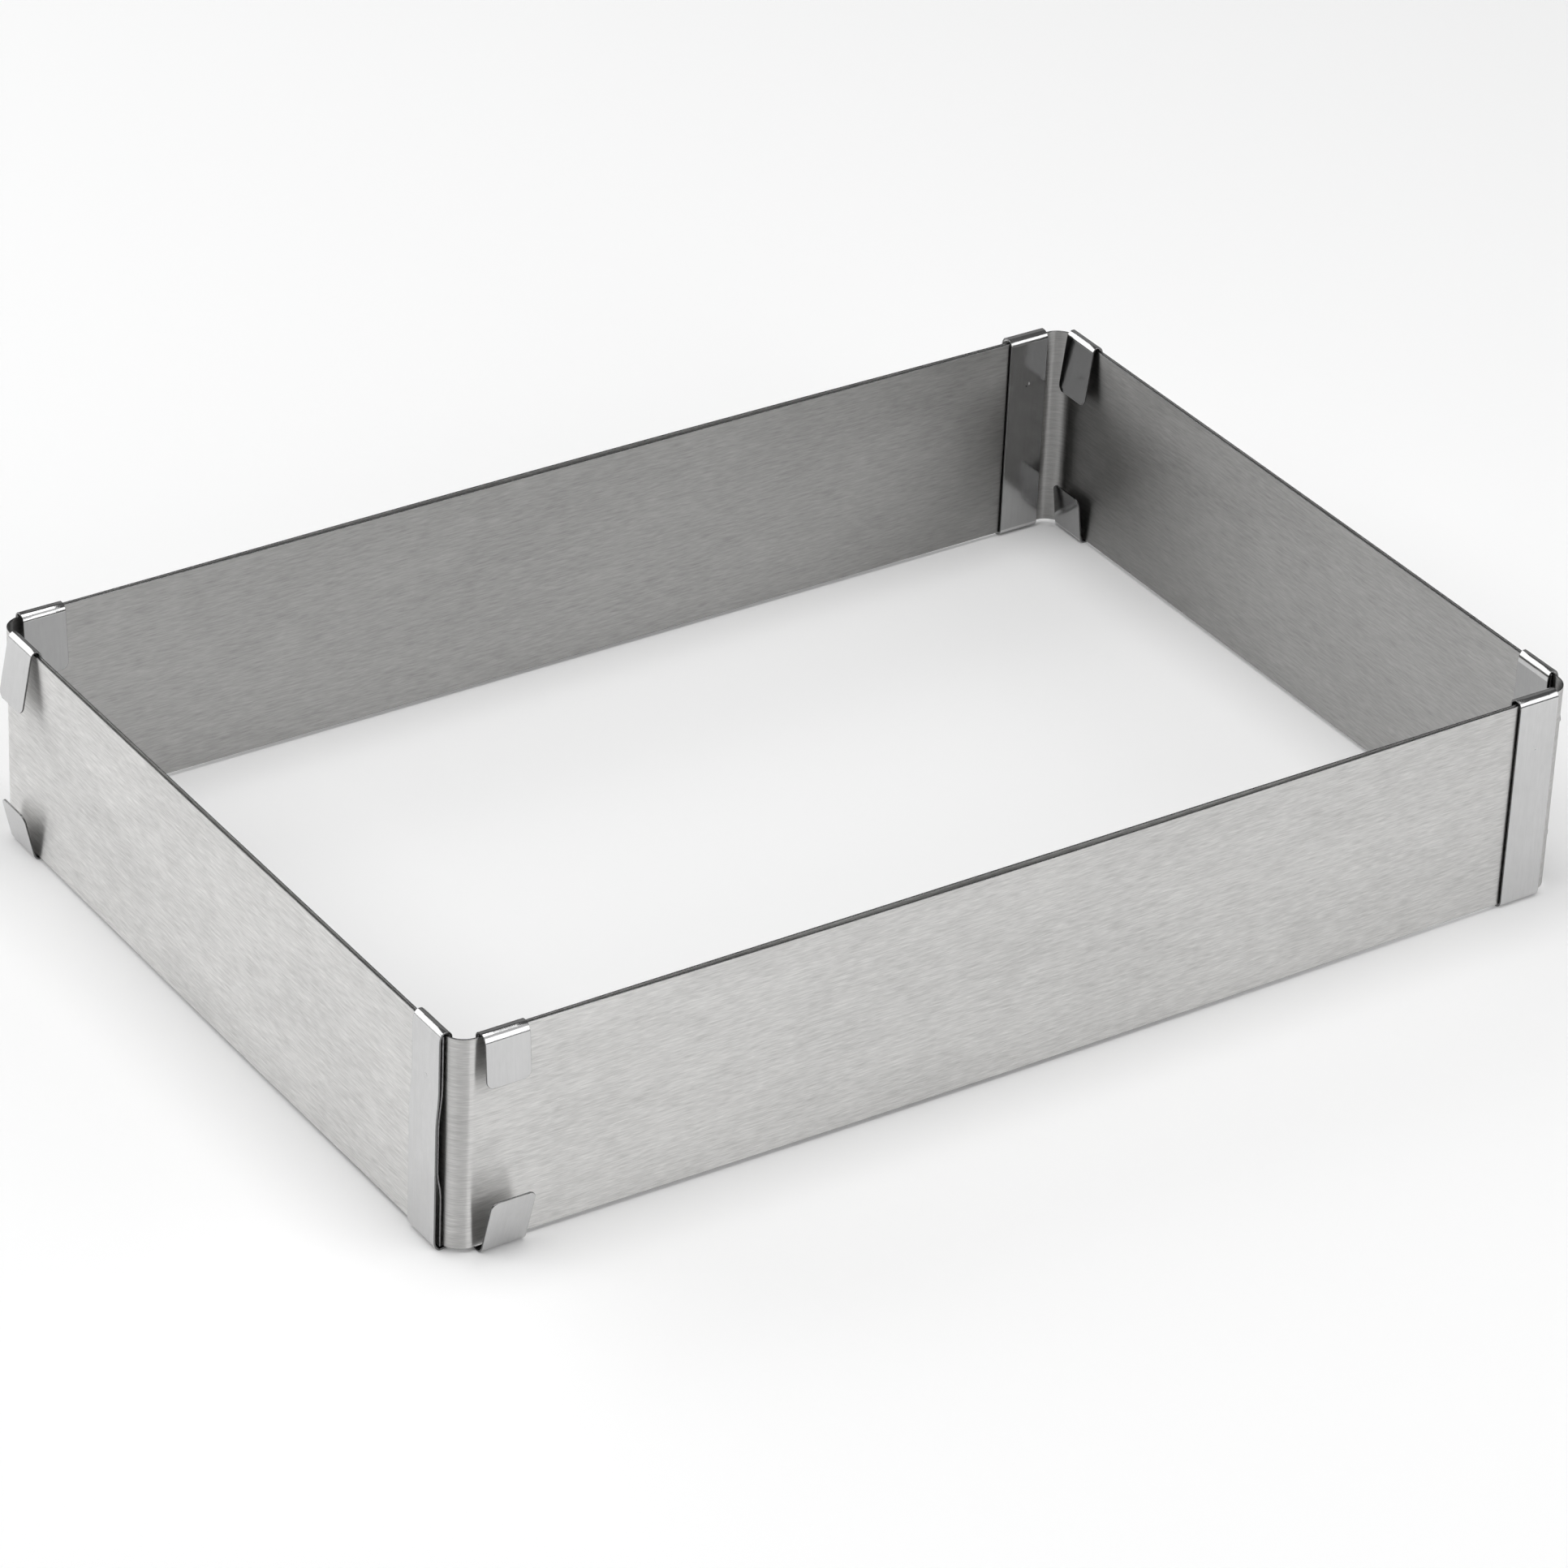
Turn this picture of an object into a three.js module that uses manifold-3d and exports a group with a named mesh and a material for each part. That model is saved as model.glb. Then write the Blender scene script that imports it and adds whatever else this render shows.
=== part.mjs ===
// Adjustable cake frame of stainless sheet. Four bent corner sheets slide along one another,
// and eight C-shaped clips, one welded to the end of each arm, hold each pair of arms together.
// Lengths are in millimetres. +Z is up and the frame stands on z = 0.
// X runs along the long walls and Y along the short ones, and the front wall faces -Y.
// The two sheets of one diagonal have an outer long arm and an inner short arm. On the other
// diagonal it is the other way round, so each wall has one outer and one inner arm.

import * as THREE from "three";
import { mergeVertices } from "three/addons/utils/BufferGeometryUtils.js";
import Module from "manifold-3d";

const wasm = await Module();
wasm.setup();

// Overall sizes, over the outer faces of the sheets, with the frame nearly closed
const longSide = 280;
const shortSide = 190;
const wallHeight = 50;

// Corner sheets
const sheetThickness = 0.4;
const bendRadius = 5; // outside of the bend
const slideGap = 0.25; // between an outer arm and the inner arm behind it
const longBow = 1.1; // how far a long outer arm stands out at its middle
const shortBow = 0.2;

// How far the walls are drawn out from fully closed, and how much sooner the spare arms end
const longRestOpening = 2;
const shortRestOpening = 0.8;
const stopClearance = 0.3; // left between an arm's end and the bend that stops it
const longOuterSpare = 0.9;
const shortInnerSpare = 1.8;

// Clips
const clipWidth = 10.3;
const clipThickness = 0.4;
const clipStandoff = 0.35; // between a clip's web and its sheet
const foldRise = 1; // inside height of a fold
const crestFlat = 0.6; // flat across the crest of a fold
const edgeClearance = 0.2; // between a sheet's edge and the fold around it
const longTab = 13.8; // straight part of a tab, beyond its fold
const shortTab = 10.6;
const tabCornerRadius = 1.8;
const heelLength = 10; // of the web below its weld, over which a flared heel leaves the sheet

// The four kinds of clip. Looseness is between a tab and a fully bowed arm, splay is how far a
// tab was bent open, in degrees, and flare is how far the heel of the web was bent outwards.
const longInnerClip = {
  bow: longBow,
  looseness: 0.65,
  heelFlare: 0,
  upper: { tab: shortTab, splay: 5 },
  lower: { tab: longTab, splay: 16 },
};
const longOuterClip = {
  bow: longBow,
  looseness: 0.3,
  heelFlare: 0,
  upper: { tab: longTab, splay: 5 },
  lower: { tab: shortTab, splay: 8 },
};
const shortInnerClip = {
  bow: shortBow,
  looseness: 0.5,
  heelFlare: 0,
  upper: { tab: longTab, splay: 10 },
  lower: { tab: shortTab, splay: 13 },
};
const shortOuterClip = {
  bow: shortBow,
  looseness: 0.6,
  heelFlare: 0.55,
  upper: { tab: longTab, splay: 7 },
  lower: { tab: shortTab, splay: 7 },
};
const clipKinds = [longInnerClip, longOuterClip, shortInnerClip, shortOuterClip];

// Spot weld: a dimple pressed through the web until it meets the sheet
const weldRadius = 0.85;
const weldTipRadius = 0.4;
const weldPitDepth = 0.15;
const weldSeatGap = 0.02;
const weldHeightShare = 0.77; // of the wall's height
const cutOverrun = 0.1;

// Facets
const bendSteps = 10;
const bowSteps = 24;
const foldSteps = 5;
const cornerSteps = 5;
const heelSteps = 6;
const weldSides = 14;

// Depths are from a wall's outer face, that of its outer arm
const innerInset = sheetThickness + slideGap; // to the inner arm
const stackDepth = innerInset + sheetThickness; // through both arms
const outerWebDepth = -clipStandoff;
const innerWebDepth = stackDepth + clipStandoff;

const throatOf = (kind) => clipStandoff + stackDepth + kind.bow + kind.looseness;

// How far into a kind of clip's fold the sheets' edges fit
function edgeRoom(kind) {
  const roundSpan = (throatOf(kind) - crestFlat) / 2;
  const nearest = Math.min(clipStandoff, kind.looseness);
  const offCentreShare = Math.max(0, 1 - nearest / roundSpan);
  return foldRise * Math.sqrt(1 - offCentreShare ** 2) - edgeClearance;
}
const edgeInFold = Math.min(...clipKinds.map(edgeRoom));
const crestHeight = foldRise + clipThickness;
const sheetBottom = crestHeight - edgeInFold;
const sheetTop = sheetBottom + wallHeight;
const lowerFoldZ = sheetBottom + edgeInFold;
const upperFoldZ = sheetTop - edgeInFold;
const weldZ = sheetBottom + wallHeight * weldHeightShare;

// How near to the next wall's outer face the bend there lets an arm's end come. An inner arm
// meets the bend itself, and on an outer arm it is the clip's tab that meets it.
const insideBendRadius = bendRadius - sheetThickness;
const innerArmReach =
  innerInset + bendRadius - Math.sqrt(insideBendRadius ** 2 - (bendRadius - innerInset) ** 2);
function outerArmReach(kind) {
  const tabLevel = innerInset + bendRadius - (throatOf(kind) - clipStandoff);
  return bendRadius - Math.sqrt(insideBendRadius ** 2 - tabLevel ** 2);
}

// From an arm's end to the outer face of the wall that it points at
const longStop = stopClearance + longRestOpening;
const shortStop = stopClearance + shortRestOpening;
const longInnerEndGap = innerArmReach + longStop;
const longOuterEndGap = outerArmReach(longOuterClip) + longStop + longOuterSpare;
const shortInnerEndGap = innerArmReach + shortStop + shortInnerSpare;
const shortOuterEndGap = outerArmReach(shortOuterClip) + shortStop;

const sheetSteel = new THREE.MeshStandardMaterial({ color: 0xb9b8b6, roughness: 0.38, metalness: 1 });
const clipSteel = new THREE.MeshStandardMaterial({ color: 0xc4c4c3, roughness: 0.22, metalness: 1 });

function solidOf(geometry) {
  const bare = geometry.clone();
  bare.deleteAttribute("normal");
  bare.deleteAttribute("uv");
  const merged = mergeVertices(bare);
  return new wasm.Manifold(
    new wasm.Mesh({
      numProp: 3,
      vertProperties: merged.attributes.position.array,
      triVerts: new Uint32Array(merged.index.array),
    }),
  );
}

function geometryOf(solid) {
  const { vertProperties, triVerts } = solid.getMesh();
  const geometry = new THREE.BufferGeometry();
  geometry.setAttribute("position", new THREE.BufferAttribute(vertProperties, 3));
  geometry.setIndex(new THREE.BufferAttribute(triVerts, 1));
  geometry.computeVertexNormals();
  return geometry;
}

// Share of the bow at a share of the way along the bowed part of an arm
const bowShare = (wayShare) => Math.max(0, 1 - (2 * wayShare - 1) ** 2) ** 1.5;

// One face of an arm, from the bend to its end: distance along the wall and depth. The stretch
// under the arm's own clip stays straight.
function armFace(start, end, depth, bow) {
  const bowedLength = end - clipWidth - start;
  const face = [];
  for (let i = 0; i <= bowSteps; i++) {
    const wayShare = i / bowSteps;
    face.push([start + bowedLength * wayShare, depth - bow * bowShare(wayShare)]);
  }
  face.push([end, depth]);
  return face;
}

// One face of a whole corner sheet, seen from above, from the short arm's end to the long arm's.
// The corner is at the front left, and skin is how far the face lies inside the outer one.
function sheetFace(arms, skin) {
  const corner = new THREE.Vector2(-longSide / 2, -shortSide / 2);
  const longFace = armFace(
    arms.shortInset + bendRadius,
    longSide - arms.longEndGap,
    arms.longInset + skin,
    arms.longBow,
  );
  const shortFace = armFace(
    arms.longInset + bendRadius,
    shortSide - arms.shortEndGap,
    arms.shortInset + skin,
    arms.shortBow,
  );
  const centre = new THREE.Vector2(arms.shortInset + bendRadius, arms.longInset + bendRadius);
  const bend = [];
  for (let i = 1; i < bendSteps; i++) {
    const turn = (Math.PI / 2) * (i / bendSteps);
    const radius = bendRadius - skin;
    bend.push([centre.x - radius * Math.cos(turn), centre.y - radius * Math.sin(turn)]);
  }
  const shortPoints = shortFace.map(([along, depth]) => [depth, along]).reverse();
  return [...shortPoints, ...bend, ...longFace].map(([x, y]) =>
    new THREE.Vector2(x, y).add(corner),
  );
}

// mirrored makes the sheet of the front right corner
function sheetGeometry(arms, mirrored) {
  const outline = [...sheetFace(arms, 0), ...sheetFace(arms, sheetThickness).reverse()];
  if (mirrored) outline.forEach((point) => point.setX(-point.x));
  const geometry = new THREE.ExtrudeGeometry(new THREE.Shape(outline), {
    depth: wallHeight,
    bevelEnabled: false,
  });
  return geometry.translate(0, 0, sheetBottom);
}

// The middle line of a fold and its tab, in a clip's own Y-Z plane. Each station has its place,
// the direction across the metal, and the distance to the tab's end. The fold is half an ellipse
// parted by a flat crest, up is 1 at the top and -1 at the bottom, and footY is the web's sheet
// side.
function foldAndTab({ tab, splay }, throat, footY, foldZ, up) {
  const centreY = footY + throat / 2;
  const roundSpan = (throat - crestFlat + clipThickness) / 2;
  const rise = foldRise + clipThickness / 2;
  const splayTurn = THREE.MathUtils.degToRad(splay);

  function foldStation(turn, side) {
    const around = Math.atan2(rise * Math.sin(turn), roundSpan * Math.cos(turn));
    return {
      y: centreY + (side * crestFlat) / 2 + roundSpan * Math.cos(around),
      z: foldZ + up * rise * Math.sin(around),
      acrossY: Math.cos(turn),
      acrossZ: up * Math.sin(turn),
      toEnd: Infinity,
    };
  }

  const webSide = [];
  const tabSide = [];
  for (let i = 0; i <= foldSteps; i++) {
    const way = i / foldSteps;
    webSide.push(foldStation(THREE.MathUtils.lerp(Math.PI, Math.PI / 2, way), -1));
    tabSide.push(foldStation(THREE.MathUtils.lerp(Math.PI / 2, splayTurn, way), 1));
  }

  const foldEnd = tabSide[foldSteps];
  const tabStations = [];
  for (let i = cornerSteps; i >= 0; i--) {
    const toEnd = tabCornerRadius * (1 - Math.cos((Math.PI / 2) * (i / cornerSteps)));
    tabStations.push({
      ...foldEnd,
      y: foldEnd.y + (tab - toEnd) * Math.sin(splayTurn),
      z: foldEnd.z - up * (tab - toEnd) * Math.cos(splayTurn),
      toEnd,
    });
  }
  return [...webSide, ...tabSide, ...tabStations];
}

// The web below the weld, where it may be bent away from the sheet and then run straight down
function heelStations(flare) {
  const webY = -clipThickness / 2;
  const heelTop = weldZ - weldRadius;
  const stations = [];
  const steps = flare > 0 ? heelSteps : 0;
  for (let i = 0; i <= steps; i++) {
    const way = i / heelSteps;
    const slope = (flare * 6 * way * (1 - way)) / heelLength;
    const length = Math.hypot(1, slope);
    stations.push({
      y: webY - flare * THREE.MathUtils.smoothstep(way, 0, 1),
      z: heelTop - heelLength * way,
      acrossY: -1 / length,
      acrossZ: slope / length,
      toEnd: Infinity,
    });
  }
  return stations;
}

// A clip's middle line, from its upper tab's end over the web to its lower tab's end. The web's
// sheet side is at y = 0 and the tabs lie towards +y.
function clipStations(kind) {
  const throat = throatOf(kind);
  const flare = kind.heelFlare;
  const upper = foldAndTab(kind.upper, throat, 0, upperFoldZ, 1);
  const lower = foldAndTab(kind.lower, throat + flare, -flare, lowerFoldZ, -1);
  return [...upper.reverse(), ...heelStations(flare), ...lower];
}

// The clip's strip: four corners at each station, narrower where a tab's end is rounded
function stripGeometry(stations) {
  const places = [];
  const faces = [];
  for (const { y, z, acrossY, acrossZ, toEnd } of stations) {
    const cornerLeft = Math.max(0, tabCornerRadius - toEnd);
    const drawnIn = tabCornerRadius - Math.sqrt(tabCornerRadius ** 2 - cornerLeft ** 2);
    const halfWidth = clipWidth / 2 - drawnIn;
    const half = clipThickness / 2;
    for (const [side, face] of [[-1, 1], [1, 1], [1, -1], [-1, -1]]) {
      places.push(side * halfWidth, y + face * half * acrossY, z + face * half * acrossZ);
    }
  }
  const last = 4 * (stations.length - 1);
  for (let base = 0; base < last; base += 4) {
    for (let i = 0; i < 4; i++) {
      const j = (i + 1) % 4;
      faces.push(base + i, base + 4 + i, base + j, base + j, base + 4 + i, base + 4 + j);
    }
  }
  faces.push(0, 1, 2, 0, 2, 3);
  faces.push(last, last + 2, last + 1, last, last + 3, last + 2);
  const geometry = new THREE.BufferGeometry();
  geometry.setAttribute("position", new THREE.Float32BufferAttribute(places, 3));
  geometry.setIndex(faces);
  return geometry;
}

// A short cone along +y, as the boss or the pit of a weld
function weldCone(fromY, toY, fromRadius, toRadius) {
  const profile = [[0, fromY], [fromRadius, fromY], [toRadius, toY], [0, toY]];
  const points = profile.map(([radius, y]) => new THREE.Vector2(radius, y));
  return solidOf(new THREE.LatheGeometry(points, weldSides));
}

function clipGeometry(kind) {
  const strip = solidOf(stripGeometry(clipStations(kind)));
  const pitSlope = (weldRadius - weldTipRadius) / clipStandoff;
  const boss = weldCone(
    -clipThickness / 2,
    clipStandoff - weldSeatGap,
    weldRadius + (pitSlope * clipThickness) / 2,
    weldTipRadius,
  );
  const pit = weldCone(
    -clipThickness - cutOverrun,
    weldPitDepth - clipThickness,
    weldRadius + pitSlope * cutOverrun,
    weldTipRadius,
  );
  return geometryOf(strip.add(boss.translate(0, 0, weldZ)).subtract(pit.translate(0, 0, weldZ)));
}

function namedMesh(name, geometry, material) {
  const mesh = new THREE.Mesh(geometry, material);
  mesh.name = name;
  return mesh;
}

// The clip at an arm's end. endGap is from the clip's nearer edge to the wall that the arm
// points at, and webDepth is that of the side of the web that meets the sheet.
function longWallClip(name, kind, atRight, endGap, webDepth, tabsOut) {
  const mesh = namedMesh(name, clipGeometry(kind), clipSteel);
  const along = longSide / 2 - endGap - clipWidth / 2;
  mesh.position.set(atRight ? along : -along, webDepth - shortSide / 2, 0);
  mesh.rotation.z = tabsOut ? Math.PI : 0;
  return mesh;
}

function shortWallClip(name, kind, atLeft, endGap, webDepth, tabsOut) {
  const mesh = namedMesh(name, clipGeometry(kind), clipSteel);
  const across = longSide / 2 - webDepth;
  mesh.position.set(atLeft ? -across : across, shortSide / 2 - endGap - clipWidth / 2, 0);
  mesh.rotation.z = atLeft === tabsOut ? Math.PI / 2 : -Math.PI / 2;
  return mesh;
}

// Front left corner, and the back right one turned by half a turn: the long arm is the outer one
function longOuterCorner(names) {
  const arms = {
    longInset: 0,
    longEndGap: longOuterEndGap,
    longBow,
    shortInset: innerInset,
    shortEndGap: shortInnerEndGap,
    shortBow: 0,
  };
  const corner = new THREE.Group();
  corner.add(
    namedMesh(names.sheet, sheetGeometry(arms, false), sheetSteel),
    longWallClip(names.longClip, longOuterClip, true, longOuterEndGap, outerWebDepth, false),
    shortWallClip(names.shortClip, shortInnerClip, true, shortInnerEndGap, innerWebDepth, true),
  );
  return corner;
}

// Front right corner, and the back left one turned by half a turn: the short arm is the outer one
function shortOuterCorner(names) {
  const arms = {
    longInset: innerInset,
    longEndGap: longInnerEndGap,
    longBow: 0,
    shortInset: 0,
    shortEndGap: shortOuterEndGap,
    shortBow,
  };
  const corner = new THREE.Group();
  corner.add(
    namedMesh(names.sheet, sheetGeometry(arms, true), sheetSteel),
    longWallClip(names.longClip, longInnerClip, false, longInnerEndGap, innerWebDepth, true),
    shortWallClip(names.shortClip, shortOuterClip, false, shortOuterEndGap, outerWebDepth, false),
  );
  return corner;
}

const frontLeft = longOuterCorner({
  sheet: "sheet_front_left",
  longClip: "clip_front_wall_right",
  shortClip: "clip_left_wall_back",
});
const frontRight = shortOuterCorner({
  sheet: "sheet_front_right",
  longClip: "clip_front_wall_left",
  shortClip: "clip_right_wall_back",
});
const backRight = longOuterCorner({
  sheet: "sheet_back_right",
  longClip: "clip_back_wall_left",
  shortClip: "clip_right_wall_front",
});
const backLeft = shortOuterCorner({
  sheet: "sheet_back_left",
  longClip: "clip_back_wall_right",
  shortClip: "clip_left_wall_front",
});
backRight.rotation.z = Math.PI;
backLeft.rotation.z = Math.PI;

const cakeFrame = new THREE.Group();
cakeFrame.add(frontLeft, frontRight, backRight, backLeft);

export default cakeFrame;
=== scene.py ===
import math

import bpy
import numpy as np
from mathutils import Matrix, Vector


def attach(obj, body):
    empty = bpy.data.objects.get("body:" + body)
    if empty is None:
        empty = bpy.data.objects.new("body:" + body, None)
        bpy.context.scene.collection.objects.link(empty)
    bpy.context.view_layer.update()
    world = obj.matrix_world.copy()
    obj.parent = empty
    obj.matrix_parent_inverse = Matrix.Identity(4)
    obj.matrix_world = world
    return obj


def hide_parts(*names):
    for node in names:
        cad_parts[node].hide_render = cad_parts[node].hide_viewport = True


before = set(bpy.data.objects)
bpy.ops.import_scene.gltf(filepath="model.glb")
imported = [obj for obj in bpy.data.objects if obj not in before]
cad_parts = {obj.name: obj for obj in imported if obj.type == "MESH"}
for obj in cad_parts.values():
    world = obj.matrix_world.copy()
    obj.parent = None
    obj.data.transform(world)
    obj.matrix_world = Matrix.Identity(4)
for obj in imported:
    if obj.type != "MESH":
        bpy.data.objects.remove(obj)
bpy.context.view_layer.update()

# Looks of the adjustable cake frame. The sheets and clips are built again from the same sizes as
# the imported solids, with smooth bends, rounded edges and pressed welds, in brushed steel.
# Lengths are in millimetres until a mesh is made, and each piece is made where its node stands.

METRES = 0.001

# Overall sizes, over the outer faces of the sheets
LONG_SIDE = 280
SHORT_SIDE = 190
WALL_HEIGHT = 50

# Corner sheets
SHEET_THICKNESS = 0.4
BEND_RADIUS = 5
SLIDE_GAP = 0.25
LONG_BOW = 1.1
SHORT_BOW = 0.2
BOW_POWER = 1.5
LONG_REST_OPENING = 2
SHORT_REST_OPENING = 0.8
STOP_CLEARANCE = 0.3
LONG_OUTER_SPARE = 0.9
SHORT_INNER_SPARE = 1.8

# Clips
CLIP_WIDTH = 10.3
CLIP_THICKNESS = 0.4
CLIP_STANDOFF = 0.35
FOLD_RISE = 1
CREST_FLAT = 0.6
EDGE_CLEARANCE = 0.2
LONG_TAB = 13.8
SHORT_TAB = 10.6
TAB_CORNER_RADIUS = 1.8
HEEL_LENGTH = 10


def clip_kind(bow, looseness, heel_flare, upper, lower):
    """A kind of clip. upper and lower are a tab's length and how far it is bent open, in degrees."""
    return {
        "bow": bow,
        "looseness": looseness,
        "heel_flare": heel_flare,
        "upper": upper,
        "lower": lower,
    }


LONG_INNER_CLIP = clip_kind(LONG_BOW, 0.65, 0, (SHORT_TAB, 5), (LONG_TAB, 16))
LONG_OUTER_CLIP = clip_kind(LONG_BOW, 0.3, 0, (LONG_TAB, 5), (SHORT_TAB, 8))
SHORT_INNER_CLIP = clip_kind(SHORT_BOW, 0.5, 0, (LONG_TAB, 10), (SHORT_TAB, 13))
SHORT_OUTER_CLIP = clip_kind(SHORT_BOW, 0.6, 0.55, (LONG_TAB, 7), (SHORT_TAB, 7))
CLIP_KINDS = (LONG_INNER_CLIP, LONG_OUTER_CLIP, SHORT_INNER_CLIP, SHORT_OUTER_CLIP)

# Spot weld
WELD_RADIUS = 0.85
WELD_TIP_RADIUS = 0.3
WELD_PIT_DEPTH = 0.15
WELD_SEAT_GAP = 0.02
WELD_HEIGHT_SHARE = 0.77

# A fold's crest is rounded off until only this much of it is flat. Its web and its tab go over into
# it over at most this height, as far as the sheets inside leave room for that.
CREST_LEFT_FLAT = 0.2
FOLD_DEPTH = 2.2
FOLD_SPARE = 0.05

# Where a short outer arm's free end stands out against the web of its clip: how far, over what
# length of the arm, and above the sheet's lower edge where this starts, is full and ends
END_BULGE = 0.8
END_BULGE_LENGTH = 4
END_BULGE_HEIGHTS = (12, 18, 28, 38)

# Painted shade inside the frame: how dark its inner faces are coloured, as a share of the outer ones
INNER_PAINTED_SHADE = 0.63

# Steps
SHEET_ROWS = 25
END_STEPS = 6
BEND_STEPS = 28
BOW_STEPS = 64
FOLD_STEPS = 14
CORNER_STEPS = 9
HEEL_STEPS = 14
WELD_STEPS = 12

# Rounded edges: their width, their steps, and the angle in degrees from which an edge is one
EDGE_ROUNDING = 0.12
ROUNDING_STEPS = 3
ROUNDING_ANGLE = 50

# Kinds of face, which are also the places of their materials in a piece's list
OUTER_FACE = 0
CUT_FACE = 1
# Inner faces take the steel coloured darker, which is painted shade
INNER_FACE = 2

# Where the grain of each corner's sheet and clips starts, in millimetres along the brushing, so
# that no two pieces show the same part of it
CORNER_GRAIN = 1000
LONG_CLIP_GRAIN = 500
SHORT_CLIP_GRAIN = 700

INNER_INSET = SHEET_THICKNESS + SLIDE_GAP
STACK_DEPTH = INNER_INSET + SHEET_THICKNESS
OUTER_WEB_DEPTH = -CLIP_STANDOFF
INNER_WEB_DEPTH = STACK_DEPTH + CLIP_STANDOFF


def throat_of(kind):
    """How wide a clip is inside, from its web to the roots of its tabs."""
    return CLIP_STANDOFF + STACK_DEPTH + kind["bow"] + kind["looseness"]


def edge_room(kind):
    """How far a sheet's edge may reach into the plain fold that the solids have."""
    round_span = (throat_of(kind) - CREST_FLAT) / 2
    nearest = min(CLIP_STANDOFF, kind["looseness"])
    off_centre_share = max(0, 1 - nearest / round_span)
    return FOLD_RISE * math.sqrt(1 - off_centre_share**2) - EDGE_CLEARANCE


EDGE_IN_FOLD = min(edge_room(kind) for kind in CLIP_KINDS)
SHEET_BOTTOM = FOLD_RISE + CLIP_THICKNESS - EDGE_IN_FOLD
SHEET_TOP = SHEET_BOTTOM + WALL_HEIGHT
LOWER_FOLD_Z = SHEET_BOTTOM + EDGE_IN_FOLD
UPPER_FOLD_Z = SHEET_TOP - EDGE_IN_FOLD
WELD_Z = SHEET_BOTTOM + WALL_HEIGHT * WELD_HEIGHT_SHARE

INSIDE_BEND_RADIUS = BEND_RADIUS - SHEET_THICKNESS


def inner_arm_reach():
    """How far inside the next wall's outer face the bend there stops the end of an inner arm."""
    across = BEND_RADIUS - INNER_INSET
    return INNER_INSET + BEND_RADIUS - math.sqrt(INSIDE_BEND_RADIUS**2 - across**2)


def outer_arm_reach(kind):
    """The same for an outer arm, whose clip's tabs meet the bend first."""
    tab_level = INNER_INSET + BEND_RADIUS - (throat_of(kind) - CLIP_STANDOFF)
    return BEND_RADIUS - math.sqrt(INSIDE_BEND_RADIUS**2 - tab_level**2)


LONG_STOP = STOP_CLEARANCE + LONG_REST_OPENING
SHORT_STOP = STOP_CLEARANCE + SHORT_REST_OPENING
LONG_INNER_END_GAP = inner_arm_reach() + LONG_STOP
LONG_OUTER_END_GAP = outer_arm_reach(LONG_OUTER_CLIP) + LONG_STOP + LONG_OUTER_SPARE
SHORT_INNER_END_GAP = inner_arm_reach() + SHORT_STOP + SHORT_INNER_SPARE
SHORT_OUTER_END_GAP = outer_arm_reach(SHORT_OUTER_CLIP) + SHORT_STOP


def smooth_step(low, high, value):
    """From 0 at low to 1 at high, level at both."""
    way = min(1, max(0, (value - low) / (high - low)))
    return way * way * (3 - 2 * way)


def grown_mesh(name, places, faces, grain, face_kinds, materials):
    """A mesh object with smooth shading and rounded edges. grain is the place of each face corner
    in the brushing: along it and across it, in metres."""
    mesh = bpy.data.meshes.new(name)
    mesh.from_pydata([tuple(METRES * c for c in place) for place in places], [], faces)
    layer = mesh.uv_layers.new(name="grain")
    layer.uv.foreach_set("vector", np.array(grain, np.float32).ravel())
    for material in materials:
        mesh.materials.append(material)
    mesh.polygons.foreach_set("material_index", face_kinds)
    mesh.polygons.foreach_set("use_smooth", [True] * len(faces))
    mesh.update()
    mesh.validate()
    piece = bpy.data.objects.new(name, mesh)
    bpy.context.scene.collection.objects.link(piece)
    rounding = piece.modifiers.new("rounded edges", "BEVEL")
    rounding.width = METRES * EDGE_ROUNDING
    rounding.segments = ROUNDING_STEPS
    rounding.limit_method = "ANGLE"
    rounding.angle_limit = math.radians(ROUNDING_ANGLE)
    rounding.use_clamp_overlap = True
    rounding.material = CUT_FACE
    shading = piece.modifiers.new("flat faces stay flat", "WEIGHTED_NORMAL")
    shading.keep_sharp = False
    shading.weight = 50
    return piece


# Sheets


def bow_share(way):
    """How far an arm stands out somewhere along its way, as a share of its bow."""
    return max(0, 1 - (2 * way - 1) ** 2) ** BOW_POWER


def arm_face(start, end, depth, bow):
    """One face of an arm, from the bend to its end: distance along the wall and depth."""
    bowed_length = end - CLIP_WIDTH - start
    face = []
    for i in range(BOW_STEPS + 1):
        way = i / BOW_STEPS
        face.append((start + bowed_length * way, depth - bow * bow_share(way)))
    for i in range(END_STEPS + 1):
        face.append((end - END_BULGE_LENGTH * (1 - i / END_STEPS), depth))
    return face


def sheet_face(arms, skin):
    """One face of the front left corner's sheet from above, from its short arm's end to its long
    arm's. skin is how far the face lies inside the outer one."""
    long_face = arm_face(
        arms["short_inset"] + BEND_RADIUS,
        LONG_SIDE - arms["long_end_gap"],
        arms["long_inset"] + skin,
        arms["long_bow"],
    )
    short_face = arm_face(
        arms["long_inset"] + BEND_RADIUS,
        SHORT_SIDE - arms["short_end_gap"],
        arms["short_inset"] + skin,
        arms["short_bow"],
    )
    bend = []
    for i in range(1, BEND_STEPS):
        turn = math.pi / 2 * i / BEND_STEPS
        radius = BEND_RADIUS - skin
        bend.append(
            (
                arms["short_inset"] + BEND_RADIUS - radius * math.cos(turn),
                arms["long_inset"] + BEND_RADIUS - radius * math.sin(turn),
            )
        )
    short_points = [(depth, along) for along, depth in reversed(short_face)]
    points = short_points + bend + long_face
    return [(x - LONG_SIDE / 2, y - SHORT_SIDE / 2) for x, y in points]


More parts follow.
